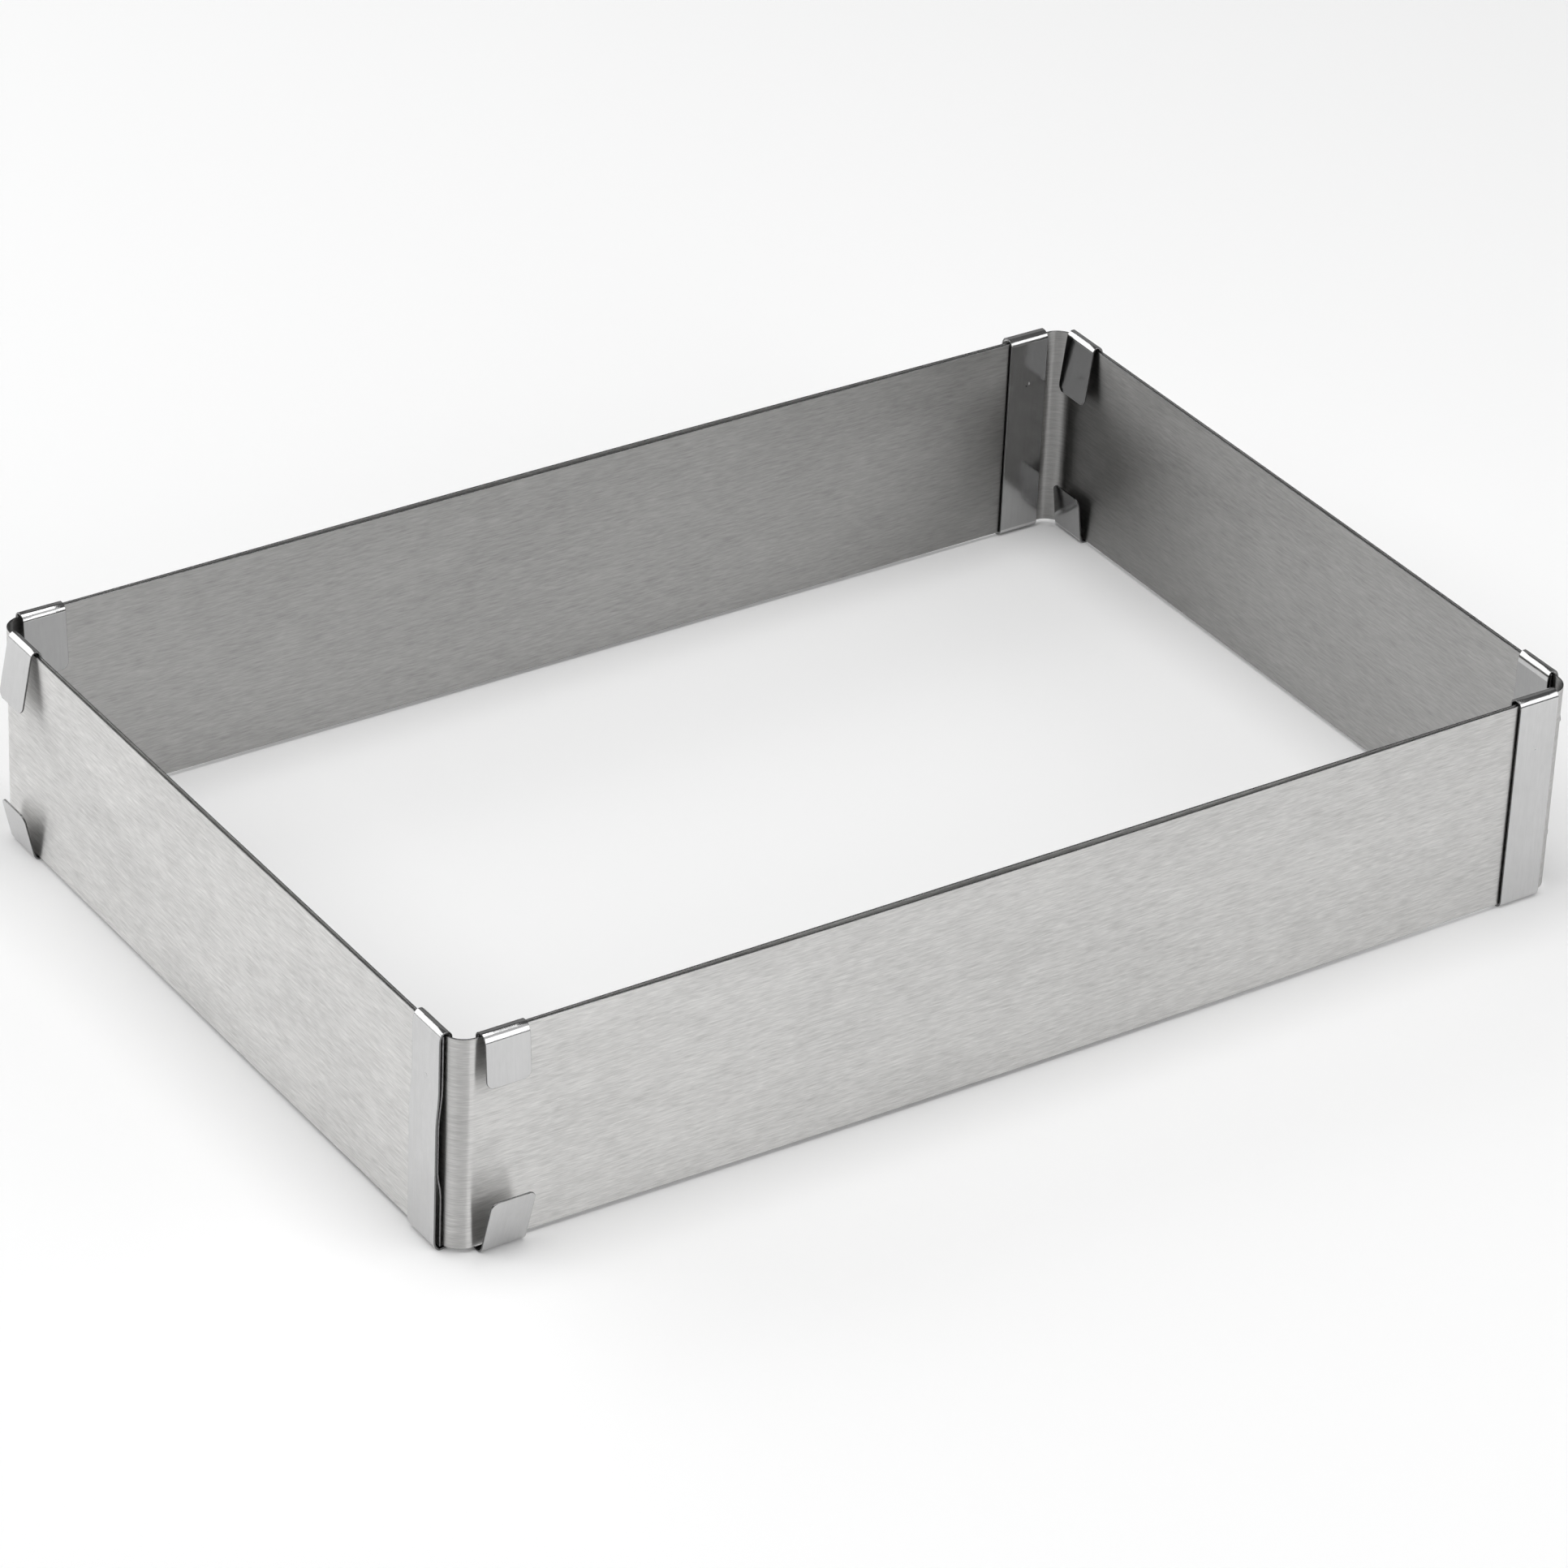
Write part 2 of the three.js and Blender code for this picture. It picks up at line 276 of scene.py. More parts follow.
def bulge_share(z):
    """How far an arm's free end stands out at a height, as a share of its bulge."""
    starts, full_from, full_to, ends = END_BULGE_HEIGHTS
    height = z - SHEET_BOTTOM
    return smooth_step(starts, full_from, height) * (1 - smooth_step(full_to, ends, height))


def sheet_piece(name, arms, flip, offset, materials):
    """flip is the sign of x and y at this sheet's corner, as against the front left one."""
    outer = [(flip[0] * x, flip[1] * y) for x, y in sheet_face(arms, 0)]
    inner = [(flip[0] * x, flip[1] * y) for x, y in sheet_face(arms, SHEET_THICKNESS)]
    heights = [WALL_HEIGHT * i / SHEET_ROWS for i in range(SHEET_ROWS + 1)]
    way = [0]
    for a, b in zip(outer, outer[1:]):
        way.append(way[-1] + math.dist(a, b))
    places = []
    for k, ((ox, oy), (ix, iy)) in enumerate(zip(outer, inner)):
        push = -flip[0] * arms["end_bulge"] * (1 - smooth_step(0, END_BULGE_LENGTH, way[k]))
        levels = [SHEET_BOTTOM + height for height in heights]
        places += [(ox + push * bulge_share(z), oy, z) for z in levels]
        places += [(ix + push * bulge_share(z), iy, z) for z in reversed(levels)]

    # Round the sheet from its outer face's lower edge: where each strip lies across the grain, and
    # its kind of face. The faces and edges follow one another, so that no two show the same
    # brushing.
    rows = list(zip(heights, heights[1:]))
    inner_start = WALL_HEIGHT + 2 * SHEET_THICKNESS
    inner_end = inner_start + WALL_HEIGHT
    strips = [(low, high, OUTER_FACE) for low, high in rows]
    strips.append((inner_start - SHEET_THICKNESS, inner_start, CUT_FACE))
    # The inner faces take the steel coloured darker, as painted shade inside the frame
    strips += [(inner_start + low, inner_start + high, INNER_FACE) for low, high in rows]
    strips.append((inner_end, inner_end + SHEET_THICKNESS, CUT_FACE))
    faces, grain, kinds = [], [], []
    turned = flip[0] * flip[1] < 0
    ring = len(strips)

    def add_face(face, corners, kind):
        faces.append(face[::-1] if turned else face)
        grain.extend(corners[::-1] if turned else corners)
        kinds.append(kind)

    for k in range(len(outer) - 1):
        for i, (low, high, kind) in enumerate(strips):
            j = (i + 1) % ring
            here, there = ring * k, ring * (k + 1)
            face = [here + i, there + i, there + j, here + j]
            corners = [(way[k], low), (way[k + 1], low), (way[k + 1], high), (way[k], high)]
            add_face(face, corners, kind)
    last = ring * (len(outer) - 1)
    for i, (low, high) in enumerate(rows):
        face = [i, i + 1, ring - 2 - i, ring - 1 - i]
        corners = [(0, low), (0, high), (SHEET_THICKNESS, high), (SHEET_THICKNESS, low)]
        add_face(face, corners, CUT_FACE)
        add_face([last + corner for corner in reversed(face)], corners[::-1], CUT_FACE)
    grain = [(METRES * (u + offset), METRES * v) for u, v in grain]
    return grown_mesh(name, places, faces, grain, kinds, materials)


# Clips


def station(part, y, z, across_y, across_z, side_half=CLIP_WIDTH / 2, side_back=0):
    """A row across a clip's strip: the part it belongs to, its place in the clip's own Y-Z plane, the
    direction across the metal, half its width, and how far its two ends lie back along +z or -z from
    its middle."""
    return {
        "part": part,
        "place": (y, z),
        "across": (across_y, across_z),
        "side_half": side_half,
        "side_back": side_back,
    }


def fold_depth(throat, nearest):
    """How high a fold is on one side, inside. nearest is how close a sheet comes to that side."""
    round_span = (throat - CREST_LEFT_FLAT) / 2
    off_centre_share = max(0, 1 - nearest / round_span)
    fall = 1 - math.sqrt(1 - off_centre_share**2)
    room = FOLD_RISE - EDGE_IN_FOLD - FOLD_SPARE
    return FOLD_DEPTH if fall * FOLD_DEPTH <= room else room / fall


def tab_room(kind):
    """How close a sheet comes to a clip's tabs. Pushed fully in, those of an outer arm reach the
    bend of the sheet inside it."""
    if kind not in (LONG_OUTER_CLIP, SHORT_OUTER_CLIP):
        return kind["looseness"]
    along = BEND_RADIUS - outer_arm_reach(kind) - STOP_CLEARANCE
    bend_level = math.sqrt(INSIDE_BEND_RADIUS**2 - along**2)
    at_bend = throat_of(kind) - CLIP_STANDOFF - (INNER_INSET + BEND_RADIUS - bend_level)
    return min(kind["looseness"], at_bend)


def span_with_same_tab(span, rise, depth, turn):
    """The half width of a fold that is depth high on its tab's side, in place of rise, so that its
    tab, bent open by turn, stays on the same line."""
    reach = math.hypot(span * math.cos(turn), rise * math.sin(turn))
    reach += (depth - rise) * math.sin(turn)
    return math.sqrt(reach**2 - (depth * math.sin(turn)) ** 2) / math.cos(turn)


def fold_and_tab(tab, splay, throat, room, foot_y, fold_z, up):
    """The rows of a fold and its tab, from the web on. room is how close a sheet comes to the tab."""
    centre_y = foot_y + throat / 2
    round_span = (throat - CREST_LEFT_FLAT + CLIP_THICKNESS) / 2
    rise = FOLD_RISE + CLIP_THICKNESS / 2
    crest_z = fold_z + up * rise
    depths = {
        -1: fold_depth(throat, CLIP_STANDOFF - foot_y) + CLIP_THICKNESS / 2,
        1: fold_depth(throat, room) + CLIP_THICKNESS / 2,
    }
    splay_turn = math.radians(splay)
    tab_across = (math.cos(splay_turn), up * math.sin(splay_turn))
    spans = {-1: round_span, 1: span_with_same_tab(round_span, rise, depths[1], splay_turn)}

    def fold_station(turn, side):
        depth, span = depths[side], spans[side]
        around = math.atan2(depth * math.sin(turn), span * math.cos(turn))
        y = centre_y + side * CREST_LEFT_FLAT / 2 + span * math.cos(around)
        z = crest_z - up * depth * (1 - math.sin(around))
        return station("fold", y, z, math.cos(turn), up * math.sin(turn))

    web_side, tab_side = [], []
    for i in range(FOLD_STEPS + 1):
        way = i / FOLD_STEPS
        web_side.append(fold_station(math.pi * (1 - way / 2), -1))
        tab_side.append(fold_station(math.pi / 2 * (1 - way) + splay_turn * way, 1))
    root_y, root_z = tab_side[-1]["place"]
    plain_turn = math.atan2(rise * math.sin(splay_turn), round_span * math.cos(splay_turn))
    plain_root_z = fold_z + up * rise * math.sin(plain_turn)
    straight = tab - up * (plain_root_z - root_z) / math.cos(splay_turn)
    tab_rows = []
    for i in range(CORNER_STEPS, -1, -1):
        turn = math.pi / 2 * i / CORNER_STEPS
        to_end = TAB_CORNER_RADIUS * i / CORNER_STEPS
        reach = straight - to_end
        tab_rows.append(
            station(
                "tab",
                root_y + reach * math.sin(splay_turn),
                root_z - up * reach * math.cos(splay_turn),
                *tab_across,
                side_half=CLIP_WIDTH / 2 - TAB_CORNER_RADIUS * (1 - math.sin(turn)),
                side_back=up * (TAB_CORNER_RADIUS * (1 - math.cos(turn)) - to_end),
            )
        )
    return web_side + tab_side + tab_rows


def web_stations(flare):
    """The web, from its upper fold down. Below the weld it may be bent away, and then run straight."""
    web_y = -CLIP_THICKNESS / 2
    stations = []
    for i in range(WELD_STEPS + 1):
        z = WELD_Z + WELD_RADIUS * (1 - 2 * i / WELD_STEPS)
        stations.append(station("web", web_y, z, -1, 0))
    for i in range(1, HEEL_STEPS + 1):
        way = i / HEEL_STEPS
        slope = flare * 6 * way * (1 - way) / HEEL_LENGTH
        length = math.hypot(1, slope)
        y = web_y - flare * smooth_step(0, 1, way)
        z = WELD_Z - WELD_RADIUS - HEEL_LENGTH * way
        stations.append(station("web", y, z, -1 / length, slope / length))
    return stations


def clip_stations(kind):
    """All the rows of a clip, from the end of its upper tab to the end of its lower one."""
    throat = throat_of(kind)
    flare = kind["heel_flare"]
    room = tab_room(kind)
    upper = fold_and_tab(*kind["upper"], throat, room, 0, UPPER_FOLD_Z, 1)
    lower = fold_and_tab(*kind["lower"], throat + flare, room, -flare, LOWER_FOLD_Z, -1)
    return upper[::-1] + web_stations(flare) + lower


def weld_press(x, z):
    """How far a point of the web is pressed towards the sheet, as a share of the weld's depth."""
    return 1 - smooth_step(WELD_TIP_RADIUS, WELD_RADIUS, math.hypot(x, z - WELD_Z))


def clip_columns():
    """Places across a clip, close together where its weld is."""
    dense = [WELD_RADIUS * (2 * i / WELD_STEPS - 1) for i in range(WELD_STEPS + 1)]
    half = CLIP_WIDTH / 2
    return [-half, -half / 2] + dense + [half / 2, half]


def clip_row(row, columns):
    """Both faces of one row of a clip, in the clip's own axes: its outer face in the order of the
    columns, and then its inner face the other way."""
    y, z = row["place"]
    across_y, across_z = row["across"]
    on_web = across_y == -1
    ring = []
    for face in (1, -1):
        depth = WELD_PIT_DEPTH if face == 1 else CLIP_STANDOFF - WELD_SEAT_GAP
        points = []
        for column in columns:
            at_side = abs(column) == CLIP_WIDTH / 2
            x = math.copysign(row["side_half"], column) if at_side else column
            back = row["side_back"] if at_side else 0
            press = depth * weld_press(x, z) if on_web else 0
            own_y = y + face * CLIP_THICKNESS / 2 * across_y - back * across_z + press
            own_z = z + face * CLIP_THICKNESS / 2 * across_z + back * across_y
            points.append((x, own_y, own_z))
        ring += points if face == 1 else points[::-1]
    return ring


def clip_piece(name, kind, centre, faces_in, tabs_out, offset, materials):
    """centre is the place in plan of the middle of the web's sheet side. faces_in is the turn, in
    degrees, at which the tabs point into the frame."""
    turn = faces_in + (180 if tabs_out else 0)
    # The part that looks into the frame takes the steel coloured darker, as painted shade
    inside = "web" if tabs_out else "tab"
    stations = clip_stations(kind)
    columns = clip_columns()
    cos, sin = round(math.cos(math.radians(turn))), round(math.sin(math.radians(turn)))
    places, ways, way = [], [], 0
    for k, row in enumerate(stations):
        if k:
            way += math.dist(row["place"], stations[k - 1]["place"])
        ways.append(way)
        for x, y, z in clip_row(row, columns):
            places.append((centre[0] + cos * x - sin * y, centre[1] + sin * x + cos * y, z))
    count = 2 * len(columns)
    sides = (len(columns) - 1, count - 1)
    across = columns + [2 * CLIP_WIDTH - c for c in reversed(columns)]
    across.append(across[0] + 4 * CLIP_WIDTH)
    faces, grain, kinds = [], [], []
    for k in range(len(stations) - 1):
        looks_in = inside in (stations[k]["part"], stations[k + 1]["part"])
        face_kind = INNER_FACE if looks_in else OUTER_FACE
        for i in range(count):
            j = (i + 1) % count
            base = count * k
            faces.append([base + i, base + count + i, base + count + j, base + j])
            u = [across[i], across[i], across[i + 1], across[i + 1]]
            v = [ways[k], ways[k + 1], ways[k + 1], ways[k]]
            grain += zip(v, u)
            kinds.append(CUT_FACE if i in sides else face_kind)
    for k in (0, len(stations) - 1):
        base = count * k
        for i in range(len(columns) - 1):
            opposite = count - 1 - i
            face = [base + i, base + i + 1, base + opposite - 1, base + opposite]
            corners = [(ways[k] + d, columns[i]) for d in (0, 0, CLIP_THICKNESS, CLIP_THICKNESS)]
            if k:
                face.reverse()
            faces.append(face)
            grain += corners
            kinds.append(CUT_FACE)
    grain = [(METRES * (u + offset), METRES * v) for u, v in grain]
    return grown_mesh(name, places, faces, grain, kinds, materials)


def long_wall_clip(name, kind, corner, end_gap, web_depth, tabs_out, offset, materials):
    """The clip at the end of a long arm. corner is the sign of x and y at its end of its wall."""
    along = LONG_SIDE / 2 - end_gap - CLIP_WIDTH / 2
    centre = (corner[0] * along, corner[1] * (SHORT_SIDE / 2 - web_depth))
    faces_in = 0 if corner[1] < 0 else 180
    return clip_piece(name, kind, centre, faces_in, tabs_out, offset, materials)


def short_wall_clip(name, kind, corner, end_gap, web_depth, tabs_out, offset, materials):
    """The clip at the end of a short arm, in the same way."""
    along = SHORT_SIDE / 2 - end_gap - CLIP_WIDTH / 2
    centre = (corner[0] * (LONG_SIDE / 2 - web_depth), corner[1] * along)
    faces_in = -90 if corner[0] < 0 else 90
    return clip_piece(name, kind, centre, faces_in, tabs_out, offset, materials)


def take_the_place(piece, node, body):
    """Show a piece in place of its solid, on the same body."""
    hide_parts(node)
    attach(piece, body)


# Materials

# The range that noise mostly fills, and the part of it that shows as a scratch
NOISE_RANGE = (0.3, 0.7)
SCRATCH_RANGE = (0.66, 0.78)

# The most that a pattern changes a colour, as a share of it, and the weight of the strokes and of
# the clouds in the roughness
COLOUR_SWING = 0.5
WEAR_WEIGHT = 0.25


def new_material(name):
    material = bpy.data.materials.new(name)
    material.use_nodes = True
    tree = material.node_tree
    tree.nodes.clear()
    return material, tree


def add(tree, kind, **settings):
    node = tree.nodes.new(kind)
    for key, value in settings.items():
        setattr(node, key, value)
    return node


def put(node, **values):
    for key, value in values.items():
        node.inputs[key.replace("_", " ")].default_value = value
    return node


def stretched(tree, along, across):
    """The brushing's own coordinates, drawn out along the grain."""
    source = add(tree, "ShaderNodeUVMap", uv_map="grain")
    scale = add(tree, "ShaderNodeMapping")
    scale.inputs["Scale"].default_value = (along, across, 1)
    tree.links.new(source.outputs["UV"], scale.inputs["Vector"])
    return scale.outputs["Vector"]


def noise(tree, size, detail, roughness):
    """Noise whose features are as long and as wide as size says, in metres."""
    along, across = size
    node = add(tree, "ShaderNodeTexNoise")
    put(node, Scale=1, Detail=detail, Roughness=roughness)
    tree.links.new(stretched(tree, 1 / along, 1 / across), node.inputs["Vector"])
    return node.outputs["Fac"]


def scaled(size, along, across):
    return size[0] * along, size[1] * across


def ranged(tree, value, low, high, to_low, to_high):
    node = add(tree, "ShaderNodeMapRange")
    for name, number in (
        ("From Min", low), ("From Max", high), ("To Min", to_low), ("To Max", to_high)
    ):
        node.inputs[name].default_value = number
    tree.links.new(value, node.inputs["Value"])
    return node.outputs["Result"]


def math_node(tree, operation, a, b):
    node = add(tree, "ShaderNodeMath", operation=operation)
    for socket, value in zip(node.inputs, (a, b)):
        if isinstance(value, (int, float)):
            socket.default_value = value
        else:
            tree.links.new(value, socket)
    return node.outputs["Value"]


def blended(tree, parts):
    """The sum of some noises, each brought about zero and times its weight."""
    total = None
    for value, weight in parts:
        part = ranged(tree, value, *NOISE_RANGE, -weight, weight)
        total = part if total is None else math_node(tree, "ADD", total, part)
    return total


def steel(name, tint, contrast, rough, anisotropy, strokes, clouds, relief):
    """Steel brushed along its grain. tint is its mean colour, and contrast is how far its strokes,
    scratches and clouds each change that, as a share. rough is the range of its roughness, strokes
    and clouds are the lengths and widths of its pattern, and relief is the depth of each in the
    bump. Sizes are in metres."""
    material, tree = new_material(name)
    output = add(tree, "ShaderNodeOutputMaterial")
    shader = add(tree, "ShaderNodeBsdfPrincipled")
    put(shader, Metallic=1, Anisotropic=anisotropy, Anisotropic_Rotation=0.25)
    tree.links.new(shader.outputs["BSDF"], output.inputs["Surface"])
    tangent = add(tree, "ShaderNodeTangent", direction_type="UV_MAP", uv_map="grain")
    tree.links.new(tangent.outputs["Tangent"], shader.inputs["Tangent"])

    fine = noise(tree, strokes, detail=1.5, roughness=0.5)
    coarse = noise(tree, scaled(strokes, 2.3, 2.6), detail=1, roughness=0.5)
    cloud = noise(tree, clouds, detail=3, roughness=0.55)
    mottle = noise(tree, scaled(clouds, 0.2, 0.2), detail=2, roughness=0.5)
    streak = noise(tree, scaled(strokes, 0.8, 1.2), detail=1, roughness=0.4)
    stroke_share, scratch_share, cloud_share = contrast
    change = blended(
        tree,
        (
            (fine, stroke_share),
            (coarse, stroke_share * 0.6),
            (cloud, cloud_share),
            (mottle, cloud_share * 0.7),
        ),
    )
    scratch = ranged(tree, streak, *SCRATCH_RANGE, 0, 1)
    change = math_node(tree, "ADD", change, math_node(tree, "MULTIPLY", scratch, scratch_share))
    change = ranged(tree, change, -COLOUR_SWING, COLOUR_SWING, 0, 1)
    colour = add(tree, "ShaderNodeMix", data_type="RGBA", clamp_factor=True)
    colour.inputs[6].default_value = (*((1 - COLOUR_SWING) * c for c in tint), 1)
    colour.inputs[7].default_value = (*((1 + COLOUR_SWING) * c for c in tint), 1)
    tree.links.new(change, colour.inputs[0])
    tree.links.new(colour.outputs[2], shader.inputs["Base Color"])

    wear = blended(tree, ((fine, WEAR_WEIGHT), (cloud, WEAR_WEIGHT)))
    most_wear = 2 * WEAR_WEIGHT
    tree.links.new(ranged(tree, wear, -most_wear, most_wear, *rough), shader.inputs["Roughness"])

    grooves = add(tree, "ShaderNodeBump")
    put(grooves, Strength=1, Distance=relief[0])
    tree.links.new(fine, grooves.inputs["Height"])
    waves = add(tree, "ShaderNodeBump")
    put(waves, Strength=1, Distance=relief[1])
    tree.links.new(cloud, waves.inputs["Height"])
    tree.links.new(waves.outputs["Normal"], grooves.inputs["Normal"])
    tree.links.new(grooves.outputs["Normal"], shader.inputs["Normal"])
    return material


def sheet_steel(name, painted_shade):
    """How dark the steel is coloured, as a share of the outer faces; below 1 it is painted shade for
    the faces inside the frame.
    """
    return steel(
        name,
        tint=[painted_shade * c for c in (0.64, 0.635, 0.625)],
        contrast=(0.115, 0.13, 0.05),
        rough=(0.36, 0.48),
        anisotropy=0.95,
        strokes=(0.003, 0.00024),
        clouds=(0.045, 0.018),
        relief=(0.000006, 0.00008),
    )


def clip_steel(name, painted_shade):
    """Brighter than the sheets, and nearly polished."""
    return steel(
        name,
        # Below 1, the shade share darkens the colour: painted shade for the faces inside the frame
        tint=[painted_shade * c for c in (0.60, 0.60, 0.60)],
        contrast=(0.025, 0.02, 0.025),
        rough=(0.10, 0.18),
        anisotropy=0.3,
        strokes=(0.006, 0.00026),
        clouds=(0.012, 0.008),
        relief=(0.0000006, 0.00003),
    )


def cut_steel_with_painted_shade():
    """Sheared edges: speckled rather than brushed, and darker, partly as the cut's own duller tone and
    partly as painted shade for ends and edges that lie in shadow.
    """
    return steel(
        "cut_steel_with_painted_shade",
        tint=(0.2, 0.2, 0.2),
        contrast=(0.35, 0.3, 0.1),
        rough=(0.18, 0.27),
        anisotropy=0.2,
        strokes=(0.0006, 0.0004),
        clouds=(0.02, 0.02),
        relief=(0.000004, 0.00001),
    )


# The whole frame

SIDES = {-1: "left", 1: "right"}
DEPTHS = {-1: "front", 1: "back"}


def build_frame():
    cut = cut_steel_with_painted_shade()
    # The faces inside the frame get darker copies of the sheet and clip steel: painted shade
    sheet_materials = [sheet_steel("outer_steel", 1), cut, sheet_steel("inner_steel_painted_shade", INNER_PAINTED_SHADE)]
    clip_materials = [
        clip_steel("outer_clip_steel", 1), cut, clip_steel("inner_clip_steel_painted_shade", INNER_PAINTED_SHADE)
    ]
    long_outer_arms = {
        "long_inset": 0,
        "long_end_gap": LONG_OUTER_END_GAP,
        "long_bow": LONG_BOW,
        "short_inset": INNER_INSET,
        "short_end_gap": SHORT_INNER_END_GAP,
        "short_bow": 0,
        "end_bulge": 0,
    }
    short_outer_arms = {
        "long_inset": INNER_INSET,
        "long_end_gap": LONG_INNER_END_GAP,
        "long_bow": 0,
        "short_inset": 0,
        "short_end_gap": SHORT_OUTER_END_GAP,
        "short_bow": SHORT_BOW,
        "end_bulge": END_BULGE,
    }
    corners = (
        (-1, -1, long_outer_arms),
        (1, -1, short_outer_arms),
        (1, 1, long_outer_arms),
        (-1, 1, short_outer_arms),
    )
    for number, (x_side, y_side, arms) in enumerate(corners):
        corner = f"{DEPTHS[y_side]}_{SIDES[x_side]}"
        body = corner + "_corner"
        offset = CORNER_GRAIN * number
        sheet = sheet_piece(
            corner + "_sheet", arms, (-x_side, -y_side), offset, sheet_materials
        )
        take_the_place(sheet, "sheet_" + corner, body)

        long_outer = arms is long_outer_arms
        long_end = f"{DEPTHS[y_side]}_wall_{SIDES[-x_side]}"
        clip = long_wall_clip(
            long_end + "_clip",
            LONG_OUTER_CLIP if long_outer else LONG_INNER_CLIP,
            (-x_side, y_side),
            arms["long_end_gap"],
            OUTER_WEB_DEPTH if long_outer else INNER_WEB_DEPTH,
            not long_outer,
            offset + LONG_CLIP_GRAIN,
            clip_materials,
        )
        take_the_place(clip, "clip_" + long_end, body)

        short_end = f"{SIDES[x_side]}_wall_{DEPTHS[-y_side]}"
        clip = short_wall_clip(
            short_end + "_clip",
            SHORT_INNER_CLIP if long_outer else SHORT_OUTER_CLIP,
            (x_side, -y_side),
            arms["short_end_gap"],
            INNER_WEB_DEPTH if long_outer else OUTER_WEB_DEPTH,
            long_outer,
            offset + SHORT_CLIP_GRAIN,
            clip_materials,
        )
        take_the_place(clip, "clip_" + short_end, body)


# Room

FLOOR_HALF = 6
FLOOR_WHITE = 0.96

# How far from the frame the floor shows the lamps' light alone, and from where on it shows as a
# plain backdrop, in metres, and the backdrop's radiance
FLOOR_LIT_TO = 0.55
BACKDROP_FROM = 0.95
BACKDROP = 0.95


def floor_material():
    material, tree = new_material("pale_floor")
    output = add(tree, "ShaderNodeOutputMaterial")
    lit = add(tree, "ShaderNodeBsdfDiffuse")
    put(lit, Color=(FLOOR_WHITE, FLOOR_WHITE, FLOOR_WHITE, 1))
    backdrop = add(tree, "ShaderNodeEmission")
    put(backdrop, Color=(1, 1, 1, 1), Strength=BACKDROP)
    place = add(tree, "ShaderNodeTexCoord")
    distance = add(tree, "ShaderNodeVectorMath", operation="LENGTH")
    tree.links.new(place.outputs["Object"], distance.inputs[0])
    far = ranged(tree, distance.outputs["Value"], FLOOR_LIT_TO, BACKDROP_FROM, 0, 1)
    far.node.interpolation_type = "SMOOTHSTEP"
    ray = add(tree, "ShaderNodeLightPath").outputs
    seen = math_node(tree, "MAXIMUM", ray["Is Glossy Ray"], ray["Is Transmission Ray"])
    seen = math_node(tree, "MAXIMUM", ray["Is Camera Ray"], seen)
    shader = add(tree, "ShaderNodeMixShader")
    tree.links.new(math_node(tree, "MULTIPLY", far, seen), shader.inputs[0])
    tree.links.new(lit.outputs["BSDF"], shader.inputs[1])
    tree.links.new(backdrop.outputs["Emission"], shader.inputs[2])
    tree.links.new(shader.outputs["Shader"], output.inputs["Surface"])
    return material


def build_floor():
    half = FLOOR_HALF
    mesh = bpy.data.meshes.new("floor")
    corners = [(-half, -half, 0), (half, -half, 0), (half, half, 0), (-half, half, 0)]
    mesh.from_pydata(corners, [], [(0, 1, 2, 3)])
    mesh.materials.append(floor_material())
    floor = bpy.data.objects.new("floor", mesh)
    bpy.context.scene.collection.objects.link(floor)


# Softboxes: direction from the frame, from +X towards +Y, and height above the floor, in degrees;
# distance, width and height, in metres; and radiance, where 1 is white
SOFTBOXES = {
    "overhead": (0, 85, 2.0, 1.2, 1.2, 3.1),
    "back_left": (118, 27, 1.6, 1.7, 1.35, 1.65),
    "left_high": (175, 55, 1.6, 1.2, 1.2, 1.8),
    "back_right": (50, 30, 1.6, 1.0, 0.8, 0.15),
    "front_right": (-40, 28, 1.6, 1.3, 0.85, 1.7),
    "front_low": (-82, 20, 1.6, 0.8, 0.7, 2.6),
    "front_high": (-75, 55, 1.6, 1.2, 1.2, 0.55),
}

# The room around them, as radiance
ROOM = 0.1


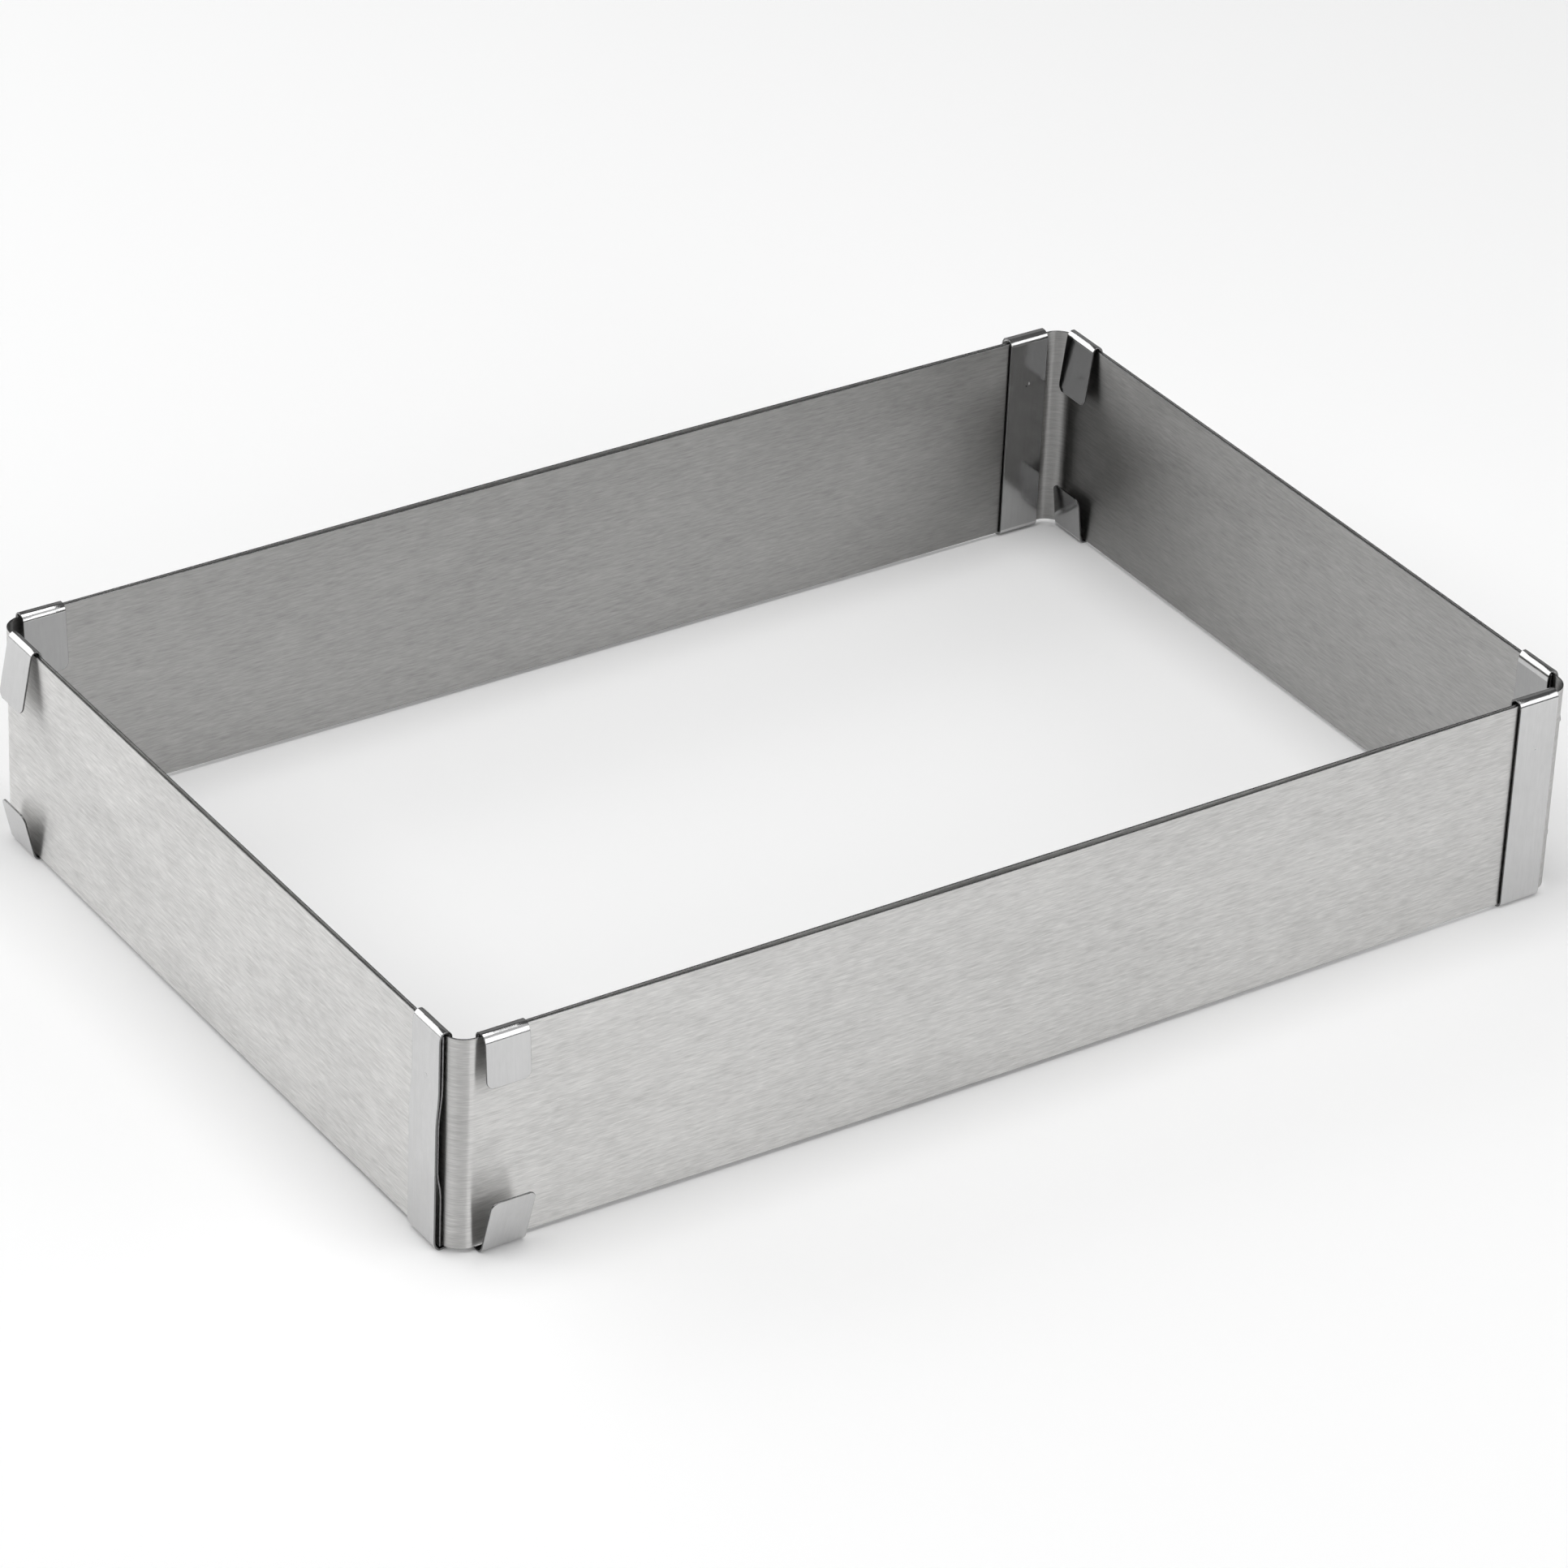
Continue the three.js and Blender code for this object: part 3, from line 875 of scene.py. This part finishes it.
def softbox(name, azimuth, elevation, distance, width, height, radiance):
    lamp = bpy.data.lights.new(name, "AREA")
    lamp.shape = "RECTANGLE"
    lamp.size = width
    lamp.size_y = height
    lamp.energy = radiance * math.pi * width * height
    holder = bpy.data.objects.new(name, lamp)
    turn, lift = math.radians(azimuth), math.radians(elevation)
    away = Vector((math.cos(turn) * math.cos(lift), math.sin(turn) * math.cos(lift), math.sin(lift)))
    holder.location = away * distance
    holder.rotation_mode = "QUATERNION"
    holder.rotation_quaternion = away.to_track_quat("Z", "Y")
    holder.visible_camera = False
    bpy.context.scene.collection.objects.link(holder)


def build_room_light():
    world = bpy.data.worlds.new("room")
    bpy.context.scene.world = world
    world.use_nodes = True
    background = world.node_tree.nodes["Background"]
    put(background, Color=(1, 1, 1, 1), Strength=ROOM)


def build_light():
    build_room_light()
    for name, settings in SOFTBOXES.items():
        softbox(name, *settings)


# Camera, fitted to the photograph: focal length in pixels of a 1932 pixel picture, angles in
# degrees, and the frame's place in front of the camera in millimetres
PICTURE = 1932
FOCAL = 8798.84
SENSOR = 36
AZIMUTH = 34.4507
ELEVATION = 31.2968
ROLL = 2.6102
AHEAD = (-1.4566, 14.9229, 1555.43)


def build_camera():
    data = bpy.data.cameras.new("camera")
    data.sensor_width = SENSOR
    data.lens = FOCAL / PICTURE * SENSOR
    data.clip_start = 0.01
    data.clip_end = 100
    azimuth, elevation, roll = (math.radians(a) for a in (AZIMUTH, ELEVATION, ROLL))
    ahead = Vector(
        (
            math.sin(azimuth) * math.cos(elevation),
            math.cos(azimuth) * math.cos(elevation),
            -math.sin(elevation),
        )
    )
    right = ahead.cross(Vector((0, 0, 1))).normalized()
    down = ahead.cross(right)
    rows = Matrix.Rotation(roll, 3, "Z") @ Matrix((right, down, ahead))
    place = -(rows.transposed() @ Vector(AHEAD))
    place.z += SHEET_BOTTOM
    turn = Matrix((rows[0], -rows[1], -rows[2])).transposed().to_4x4()
    camera = bpy.data.objects.new("camera", data)
    camera.matrix_world = Matrix.Translation(place * METRES) @ turn
    bpy.context.scene.collection.objects.link(camera)
    bpy.context.scene.camera = camera


bpy.context.scene.view_settings.view_transform = "Standard"
build_frame()
build_floor()
build_light()
build_camera()
